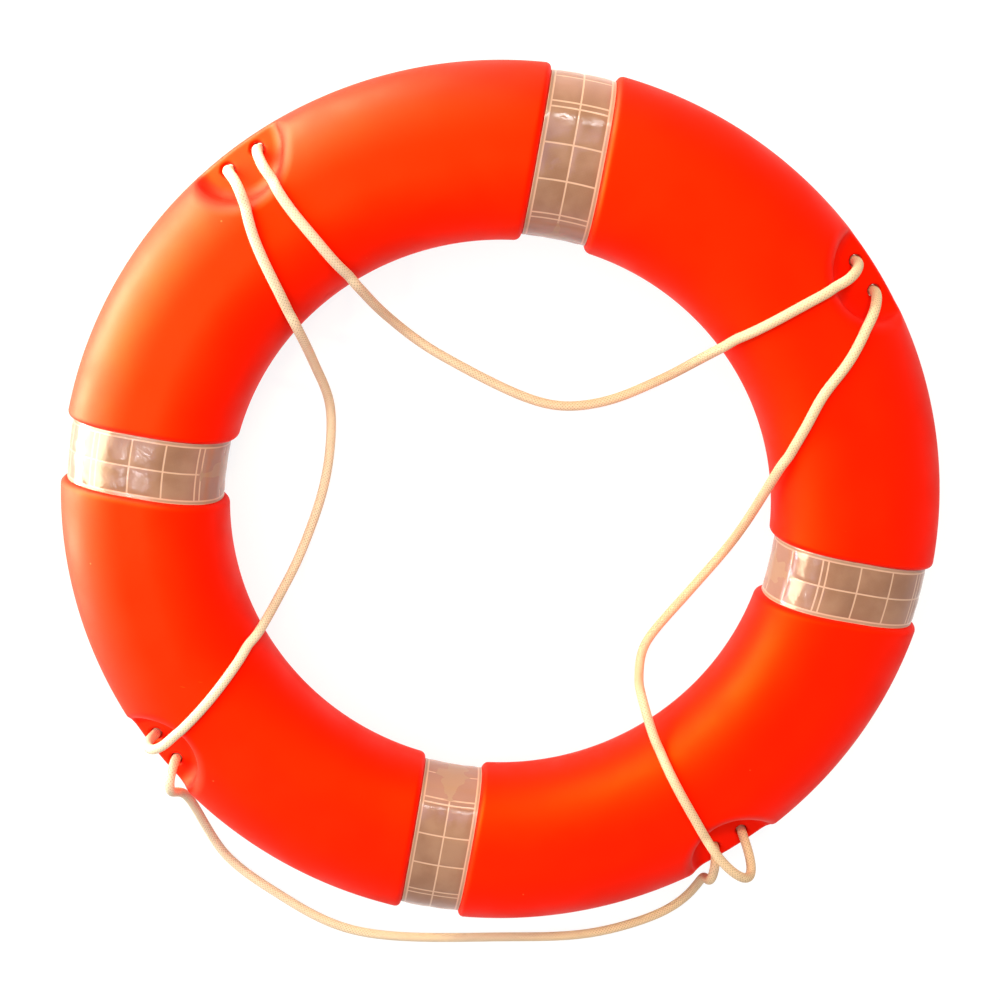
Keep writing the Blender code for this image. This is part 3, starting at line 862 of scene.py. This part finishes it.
def eye_pass(direction):
    """The line's way through one eye: down a hole, round behind the web and up the other hole."""
    half = HOLE_PITCH / 2
    profile = [(-half, WEB_TOP)]
    for step in range(PASS_STEPS + 1):
        angle = math.pi * step / PASS_STEPS
        profile.append((-half * math.cos(angle), WEB_BOTTOM - FIT_GAP - half * math.sin(angle)))
    profile.append((half, WEB_TOP))
    return [(*around(direction, aside, EYE_RADIUS), height) for aside, height in profile]


def route_points():
    """The whole line's way points, from behind the web at one knot to behind it at the other."""
    start = around(EYE_DIRECTIONS[2], HOLE_PITCH / 2, EYE_RADIUS)
    end = around(EYE_DIRECTIONS[2], -HOLE_PITCH / 2, EYE_RADIUS)
    points = [(*start, WEB_BOTTOM), (*start, WEB_TOP)]
    points += list(LEFT_LOOP) + eye_pass(EYE_DIRECTIONS[3])
    points += list(TOP_LOOP) + eye_pass(EYE_DIRECTIONS[0])
    points += list(RIGHT_LOOP) + eye_pass(EYE_DIRECTIONS[1])
    points += list(BOTTOM_LOOP) + [(*end, WEB_TOP), (*end, WEB_BOTTOM)]
    return [Vector(point) for point in points]


def smooth_through(points, steps):
    """A centripetal Catmull-Rom curve through the points."""
    line = [points[0] * 2 - points[1]] + points + [points[-1] * 2 - points[-2]]
    curve = []
    for a, b, c, d in zip(line, line[1:], line[2:], line[3:]):
        t1 = math.sqrt((b - a).length)
        t2 = t1 + math.sqrt((c - b).length)
        t3 = t2 + math.sqrt((d - c).length)
        for step in range(steps):
            t = t1 + (t2 - t1) * step / steps
            ab = a.lerp(b, t / t1)
            bc = b.lerp(c, (t - t1) / (t2 - t1))
            cd = c.lerp(d, (t - t2) / (t3 - t2))
            abc = ab.lerp(bc, t / t2)
            bcd = bc.lerp(cd, (t - t1) / (t3 - t1))
            curve.append(abc.lerp(bcd, (t - t1) / (t2 - t1)))
    curve.append(points[-1])
    return np.array([tuple(point) for point in curve])


def even_path(path, step):
    """The same path with points an even step apart."""
    run = np.concatenate([[0], np.cumsum(np.linalg.norm(np.diff(path, axis=0), axis=1))])
    count = max(2, round(run[-1] / step))
    at = np.linspace(0, run[-1], count + 1)
    return np.stack([np.interp(at, run, path[:, axis]) for axis in range(3)], axis=1)


def looseness(path):
    """1 where the line may be softened, and 0 in the eyes' holes and round behind their webs."""
    near = np.full(len(path), 1.0)
    for direction in EYE_DIRECTIONS:
        x, y = around(direction, 0.0, EYE_RADIUS)
        near = np.minimum(near, np.hypot(path[:, 0] - x, path[:, 1] - y))
    beside = np.clip((near - HOLE_PITCH / 2 - HOLE_CLEARANCE) / HOLE_FADE, 0, 1)
    above = np.clip((path[:, 2] - POCKET_FLOOR - FLOOR_CLEARANCE) / FLOOR_FADE, 0, 1)
    return np.maximum(beside, above)


def soften(path, rounds):
    """Evens out the path, apart from its ends and its way through the eyes."""
    share = looseness(path)[1:-1, None] * 0.5
    for _ in range(rounds):
        path[1:-1] += ((path[:-2] + path[2:]) / 2 - path[1:-1]) * share
    return path


def gap_and_way_out(path):
    """How far the line's skin is from the shell, and the way that leads away from it."""
    slope = shell_slope(path)
    length = np.maximum(np.linalg.norm(slope, axis=1), SHORTEST_SLOPE)
    return shell_distance(path) - ROPE_RADIUS, slope / length[:, None]


def settle(path):
    """Lets the line down onto the shell where it lies within a few millimetres, and lifts it out of it."""
    for _ in range(SETTLE_ROUNDS):
        gap, slope = gap_and_way_out(path)
        down = np.clip((LYING_GAP - gap) / LYING_FADE, 0, 1)
        inside = np.hypot(path[:, 0], path[:, 1]) < LYING_REACH
        lying = (path[:, 2] > MIDDLE_HEIGHT) & (slope[:, 2] > LYING_SLOPE) & inside
        move = np.where(gap < 0, gap, np.where(lying, gap * down, 0))
        path = path - slope * np.clip(move, -LONGEST_STEP, LONGEST_STEP)[:, None]
        path[:, 2] = np.maximum(path[:, 2], ROPE_RADIUS)
        path = soften(path, rounds=6)
    gap, slope = gap_and_way_out(path)
    path = path - slope * np.minimum(gap, 0)[:, None]
    path[:, 2] = np.maximum(path[:, 2], ROPE_RADIUS)
    return soften(path, rounds=3)


def frames_along(path):
    """A direction across the path at each point, carried along it without twisting."""
    tangent = np.gradient(path, axis=0)
    tangent /= np.linalg.norm(tangent, axis=1)[:, None]
    side = np.zeros_like(path)
    first = np.cross(tangent[0], (0.3, 0.9, 0.2))
    side[0] = first / np.linalg.norm(first)
    for k in range(1, len(path)):
        carried = side[k - 1] - tangent[k] * np.dot(side[k - 1], tangent[k])
        side[k] = carried / np.linalg.norm(carried)
    return tangent, side, np.cross(tangent, side)


def braid_height(u, v):
    """How far the braid's pillows stand out, from 0 to 1, round the line (u) and along it (v)."""
    a = u * BRAID_STRANDS + v / BRAID_LAY * BRAID_STRANDS
    b = u * BRAID_STRANDS - v / BRAID_LAY * BRAID_STRANDS
    return np.sqrt(np.abs(np.sin(math.pi * a) * np.sin(math.pi * b)))


def rope_mesh(name, path, radius):
    """A braided tube along a path, closed at its ends, with u round it and v along it."""
    sides = ROPE_SIDES
    tangent, side, other = frames_along(path)
    run = np.concatenate([[0], np.cumsum(np.linalg.norm(np.diff(path, axis=0), axis=1))])
    angle = np.arange(sides) / sides * 2 * math.pi
    u, v = np.meshgrid(angle / (2 * math.pi), run)
    reach = radius - BRAID_RELIEF * 0.7 + BRAID_RELIEF * braid_height(u, v)
    cosine, sine = np.cos(angle)[None, :, None], np.sin(angle)[None, :, None]
    spoke = side[:, None] * cosine + other[:, None] * sine
    rings = path[:, None] + spoke * reach[:, :, None]
    points = rings.reshape(-1, 3)
    count = len(path)
    row = np.arange(count - 1)[:, None] * sides
    column = np.arange(sides)[None]
    after = (column + 1) % sides
    above = row + sides
    quads = np.stack([row + column, row + after, above + after, above + column], axis=-1)
    quads = quads.reshape(-1, 4)
    faces = quads.tolist()
    faces.append(list(range(sides))[::-1])
    faces.append([(count - 1) * sides + k for k in range(sides)])
    data = new_mesh(name, points.tolist(), faces)
    uv = np.empty((len(data.loops), 2))
    corner = read_values(data.loops, "vertex_index", kind=np.int32)
    uv[:, 0] = (corner % sides) / sides
    uv[:, 1] = run[np.minimum(corner // sides, count - 1)]
    wraps = np.arange(len(quads)).reshape(-1, sides)[:, -1]
    for k in (1, 2):
        uv[wraps * 4 + k, 0] = 1.0
    data.uv_layers.new(name="UVMap").data.foreach_set("uv", uv.ravel())
    return data


# An overhand knot as a closed curve, cut open: its ends are led up into the hole and down to the tip
KNOT_SCALE = 0.0020
KNOT_DROP = 0.0083
KNOT_DEPTH = 0.0037
KNOT_POINTS = 26
KNOT_START = math.radians(24)
KNOT_SWEEP = math.radians(318)
KNOT_LEAD = ((0, 0, 0.0035), (0, 0, 0.0), (0.0010, 0.0016, -0.0030))
KNOT_TAIL = (
    (0.0010, 0.0004, -0.0150), (0.0004, -0.0002, -0.0200), (0.0, 0.0004, -0.0240),
    (-0.0004, 0.0008, -0.0275),
)
KNOT_STEP = 0.0009
KNOT_SQUEEZE = 0.97
KNOT_TURNS = {1: math.radians(190), 2: math.radians(340)}

# The melted tip's dome: radius as a share of the rope's, and height
TIP_PROFILE = (
    (0.90, 0.0014), (0.98, 0.0012), (1.08, 0.0003), (1.10, -0.0006), (0.98, -0.0014),
    (0.70, -0.0020), (0.35, -0.0023), (0.05, -0.0024),
)
TIP_SIDES = 28


def knot_path():
    """A stopper knot below the origin: down the hole, an overhand knot drawn up tight, and the tail."""
    points = list(KNOT_LEAD)
    for k in range(KNOT_POINTS + 1):
        t = KNOT_START + KNOT_SWEEP * k / KNOT_POINTS
        points.append((
            KNOT_SCALE * (math.sin(t) + 2 * math.sin(2 * t)),
            KNOT_SCALE * (math.cos(t) - 2 * math.cos(2 * t)),
            -KNOT_DROP - KNOT_DEPTH * math.sin(3 * t),
        ))
    points += KNOT_TAIL
    return [Vector(point) for point in points]


def make_line(finish):
    """The grab line as one piece, and its centreline."""
    path = even_path(smooth_through(route_points(), steps=14), ROUTE_STEP)
    path = even_path(settle(path), ROPE_STEP)
    data = rope_mesh("grab_rope", path, ROPE_RADIUS)
    return add_piece("grab_rope", data, finish, ("grab_line",)), path


def make_knot(number, side, finish, tip):
    """The stopper knot at one end of the line, turned its own way, with a melted tip."""
    path = even_path(smooth_through(knot_path(), steps=10), KNOT_STEP)
    turn = Matrix.Rotation(KNOT_TURNS[number], 3, "Z")
    x, y = around(EYE_DIRECTIONS[2], side * HOLE_PITCH / 2, EYE_RADIUS)
    path = path @ np.array(turn).T + np.array((x, y, WEB_BOTTOM - FIT_GAP))
    name = f"stopper_knot_{number}"
    data = rope_mesh(name, path, ROPE_RADIUS * KNOT_SQUEEZE)
    knot = add_piece(name, data, finish, (f"grab_line_knot_{number}",))
    dome = [(ROPE_RADIUS * share, height) for share, height in TIP_PROFILE]
    cap_data = turned_mesh(f"{name}_tip", dome, TIP_SIDES)
    down = path[-1] - path[-6]
    tilt = Vector((0, 0, -1)).rotation_difference(Vector(down)).to_matrix().to_4x4()
    cap_data.transform(Matrix.Translation(Vector(path[-1])) @ tilt)
    cap = add_piece(f"{name}_tip", cap_data, tip)
    return knot, cap


# Plugs

PLUG_SIDES = 72
PLUG_CREASE = math.radians(40)
PLUG_PROFILE = (
    (0.0002, 0.0042), (0.0086, 0.0042), (0.0090, 0.0038), (0.0090, 0.0015), (0.0119, 0.0015),
    (0.0120, 0.0013), (0.0120, 0.0007), (0.0118, 0.0004), (0.0114, 0.0003), (0.0104, 0.0003),
    (0.0101, 0.0004), (0.0099, 0.0006), (0.0096, 0.0007), (0.0060, 0.00055), (0.0030, 0.0005),
    (0.0026, 0.00055), (0.0023, 0.0009), (0.0012, 0.0010), (0.0002, 0.0010),
)


def make_plug(name, direction, finish):
    """A welded disc: a shallow dished head with a spin-weld bead round it and a centre spot."""
    data = turned_mesh(name, PLUG_PROFILE, PLUG_SIDES)
    data.transform(Matrix.Translation((*around(direction, 0.0, MIDDLE_RADIUS), 0.0)))
    add_piece(f"{name}_disc", data, finish, (name,))
    data.set_sharp_from_angle(angle=PLUG_CREASE)


# Camera and studio

CAMERA_PLACE = Vector((-0.0525, 0.2572, 1.1207))
CAMERA_TARGET = Vector((0, 0, MIDDLE_HEIGHT))
PICTURE_UP = Vector((-0.1789, 0.9839, 0))
CAMERA_LENS = 47.73
CAMERA_SHIFT = (-0.0008, 0.0172)

WORLD_STRENGTH = 0.52
WHITE = (1, 1, 1, 1)

# Name, place, target, size, power, colour, and whether it lights only what shines
LAMPS = (
    ("key", (-1.32, 0.60, 0.28), (-0.22, 0.08, 0.08), (1.8, 0.46), 40, (1.0, 0.93, 0.80), False),
    ("low_card", (-0.82, 0.26, 0.10), (-0.22, 0.06, 0.08), (1.7, 0.17), 85, (1.0, 0.92, 0.68), True),
    ("high_card", (-1.02, 0.30, 0.70), (-0.22, 0.04, 0.08), (1.6, 0.85), 250, (1.0, 0.88, 0.30), True),
    ("top", (-0.8, 0.5, 1.8), (0, 0, 0), (2.0, 1.6), 27, (1, 1, 1), False),
    ("far_glint", (0.1, 1.43, 2.0), (0, 0, 0.1), (0.5, 0.05), 20, (1.0, 0.90, 0.42), False),
    ("near_glint", (-0.56, -0.27, 1.24), (-0.29, 0, 0.1), (0.05, 0.05), 2.0, (1.0, 0.90, 0.42), False),
)

# The floor glows white to the camera, apart from a ring of painted shade round FLOOR_CENTRE that fades at
# both sides, where only lamp light and the ring's real shadow show
FLOOR_REACH = 6
FLOOR_DROP = 0.0002
FLOOR_GLOW = 1.12
FLOOR_SHARE = 0.78
FLOOR_CENTRE = (0.0026, -0.0127)
SHADE_INSIDE = (0.243, 0.252)
SHADE_OUTSIDE = (0.369, 0.3765)
FLOOR_TONE = (0.86, 0.86, 0.86, 1)
FLOOR_BOUNCE = (0.60, 0.60, 0.60, 1)


def make_camera():
    data = bpy.data.cameras.new("camera")
    data.lens = CAMERA_LENS
    data.sensor_width = 36
    data.shift_x, data.shift_y = CAMERA_SHIFT
    data.clip_start = 0.01
    camera = new_object("camera", data)
    ahead = (CAMERA_TARGET - CAMERA_PLACE).normalized()
    right = ahead.cross(PICTURE_UP).normalized()
    up = right.cross(ahead)
    turn = Matrix((right, up, -ahead)).transposed()
    camera.matrix_world = Matrix.Translation(CAMERA_PLACE) @ turn.to_4x4()
    bpy.context.scene.camera = camera


def area_light(name, place, target, size, energy, color, gloss_only):
    data = bpy.data.lights.new(name, "AREA")
    data.shape = "RECTANGLE"
    data.size, data.size_y = size
    data.energy = energy
    data.color = color
    lamp = new_object(name, data)
    lamp.location = place
    lamp.rotation_euler = (Vector(target) - Vector(place)).to_track_quat("-Z", "Y").to_euler()
    lamp.visible_camera = False
    lamp.visible_diffuse = not gloss_only


def background_rays(tree):
    """1 for the rays that see the background as it looks: from the camera, mirrored or through glass."""
    path = tree.nodes.new("ShaderNodeLightPath")
    share = path.outputs["Is Camera Ray"]
    for name in ("Is Glossy Ray", "Is Transmission Ray"):
        larger = tree.nodes.new("ShaderNodeMath")
        larger.operation = "MAXIMUM"
        tree.links.new(share, larger.inputs[0])
        tree.links.new(path.outputs[name], larger.inputs[1])
        share = larger.outputs[0]
    return share


def mix_shaders(tree, share, off, on, target):
    """Shows the first shader where share is 0 and the second where it is 1."""
    mix = tree.nodes.new("ShaderNodeMixShader")
    for source, socket in zip((share, off, on), mix.inputs):
        tree.links.new(source, socket)
    tree.links.new(mix.outputs[0], target)


def make_world():
    world = bpy.data.worlds.new("studio")
    bpy.context.scene.world = world
    world.use_nodes = True
    tree = world.node_tree
    back = tree.nodes["Background"]
    back.inputs["Color"].default_value = WHITE
    back.inputs["Strength"].default_value = WORLD_STRENGTH
    white = tree.nodes.new("ShaderNodeBackground")
    white.inputs["Color"].default_value = WHITE
    target = tree.nodes["World Output"].inputs[0]
    mix_shaders(tree, background_rays(tree), back.outputs[0], white.outputs[0], target)


def floor_finish():
    """Pale grey; in a ring of painted shade under the shell its glow is held back, so the ring's real
    shadow shows there; elsewhere the camera sees it nearly white.
    """
    n = Nodes("floor")
    n.surface(FLOOR_TONE, 0.7)
    glow = n.tree.nodes.new("ShaderNodeEmission")
    glow.inputs["Strength"].default_value = FLOOR_GLOW
    x, y = FLOOR_CENTRE
    east, north, _ = n.split(n.stretch(n.place(), move=(-x, -y, 0)))
    radius = n.plus(n.times(east, east), n.times(north, north))
    radius = n.math("SQRT", radius)
    # Painted shade: a ring under the shell where the floor's glow is held back
    outside = n.clamp(radius, *SHADE_OUTSIDE, 1.0, 0.0)
    painted_ring_shade = n.times(n.clamp(radius, *SHADE_INSIDE), outside)
    seen = background_rays(n.tree)
    share = n.times(n.times(seen, FLOOR_SHARE), n.minus(1.0, painted_ring_shade))
    n.feed(n.shader.inputs["Base Color"], n.mix(seen, FLOOR_BOUNCE, FLOOR_TONE))
    mix_shaders(n.tree, share, n.shader.outputs[0], glow.outputs[0], n.output.inputs[0])
    return n.material


def make_floor():
    corners = [(x * FLOOR_REACH, y * FLOOR_REACH, 0) for x, y in ((-1, -1), (1, -1), (1, 1), (-1, 1))]
    data = new_mesh("floor", corners, [(0, 1, 2, 3)])
    data.materials.append(floor_finish())
    floor = new_object("floor", data)
    floor.location.z = -FLOOR_DROP


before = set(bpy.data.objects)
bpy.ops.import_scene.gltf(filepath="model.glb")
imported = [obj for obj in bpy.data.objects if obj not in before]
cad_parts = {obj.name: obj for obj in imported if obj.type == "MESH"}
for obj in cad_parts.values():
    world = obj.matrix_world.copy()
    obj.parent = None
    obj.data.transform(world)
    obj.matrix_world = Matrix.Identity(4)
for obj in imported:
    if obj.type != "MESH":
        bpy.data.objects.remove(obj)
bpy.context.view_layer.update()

make_camera()
make_world()
for lamp in LAMPS:
    area_light(*lamp)
make_floor()
bpy.context.scene.view_settings.view_transform = "Standard"

fibre = rope_fibre()
melted = melted_tip()
rope, rope_path = make_line(fibre)
knots = [make_knot(1, 1, fibre, melted), make_knot(2, -1, fibre, melted)]

make_shell(SHELL_CELL)
film = tape_film()
for band_number, band_direction in enumerate(BAND_DIRECTIONS, start=1):
    make_band(band_number, band_direction, film)
plug_finish = plastic("plug_plastic", PLUG_RED, 3.0)
for plug_name, plug_direction in PLUG_DIRECTIONS.items():
    make_plug(plug_name, plug_direction, plug_finish)

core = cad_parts["foam_core"]
core.data.materials.clear()
core.data.materials.append(foam_fill())
